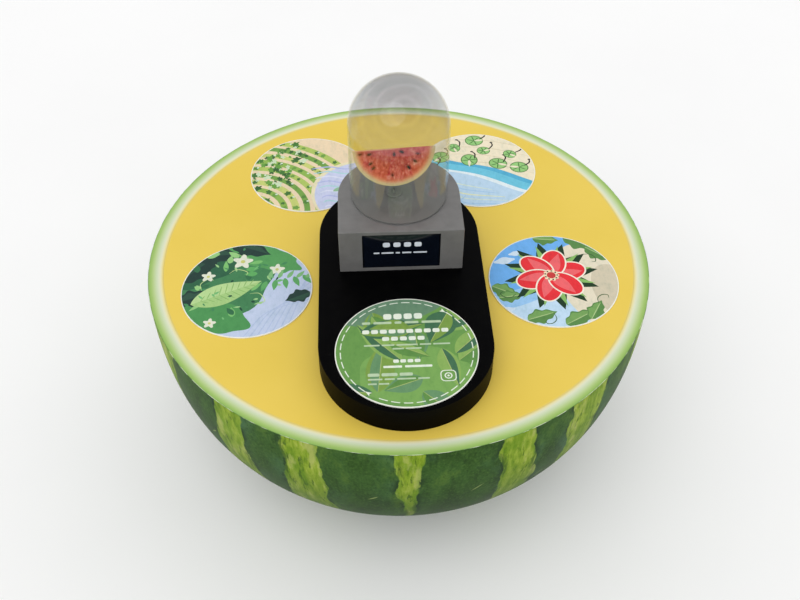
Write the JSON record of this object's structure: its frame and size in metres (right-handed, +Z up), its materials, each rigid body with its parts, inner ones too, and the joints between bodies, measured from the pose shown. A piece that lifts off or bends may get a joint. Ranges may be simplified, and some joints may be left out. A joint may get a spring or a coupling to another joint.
{
  "type": "halved melon display table",
  "caption": "Round exhibit table shaped like the lower half of a striped melon, with round picture panels, a small screen and a melon wedge under a clear dome.",
  "frame": {"origin": "on the floor, at the middle of the round foot's underside, below the dome's axis", "axes": "+Z up along the table's and the dome's axis; -Y is the front, with the screen and the info disc; +X is to the right of someone facing the screen"},
  "size_m": [1.5, 1.5, 1.325],
  "materials": {
    "foot_black": "matt black paint",
    "inlet_plastic": "moulded",
    "rind": "printed dark green with pale green stripes, satin varnish",
    "rim_green": "paint that fades from off-white inside to leaf green outside",
    "top_yellow": "satin warm yellow paint",
    "support_steel": "bare",
    "support_aluminium": "mill",
    "sensor_plastic": "moulded",
    "picture_left_front": "satin print with a white border",
    "picture_right_front": "satin print with a white border",
    "picture_left_back": "satin print with a white border",
    "picture_right_back": "satin print with a white border",
    "plinth_black": "satin black",
    "info_green": "satin print with a white border",
    "case_metal": "folded sheet",
    "case_black": "moulded",
    "housing_grey": "satin grey paint",
    "screen_dark": "dark glass over a screen that is off",
    "dome_floor_grey": "matt grey",
    "clear_acrylic": "clear, polished",
    "melon_flesh": "red flesh with dark seeds, pale inner rind and striped green skin"
  },
  "bodies": {
    "root": {"foot_disc": "foot_black", "power_inlet": "inlet_plastic", "rind_shell": "rind", "rim_ring": "rim_green", "table_top": "top_yellow", "support_column": "support_steel", "support_cross": "support_aluminium", "touch_sensor_left_front": "sensor_plastic", "touch_sensor_right_front": "sensor_plastic", "touch_sensor_left_back": "sensor_plastic", "touch_sensor_right_back": "sensor_plastic", "touch_sensor_info": "sensor_plastic", "picture_disc_left_front": "picture_left_front", "picture_disc_right_front": "picture_right_front", "picture_disc_left_back": "picture_left_back", "picture_disc_right_back": "picture_right_back", "plinth": "plinth_black", "info_disc": "info_green", "power_supply": "case_metal", "housing": "housing_grey", "screen_glass": "screen_dark", "display_module": "case_metal", "controller_box": "case_black", "dome_floor": "dome_floor_grey", "dome": "clear_acrylic", "wedge_stand": "clear_acrylic", "melon_wedge": "melon_flesh"}
  },
  "joints": []
}
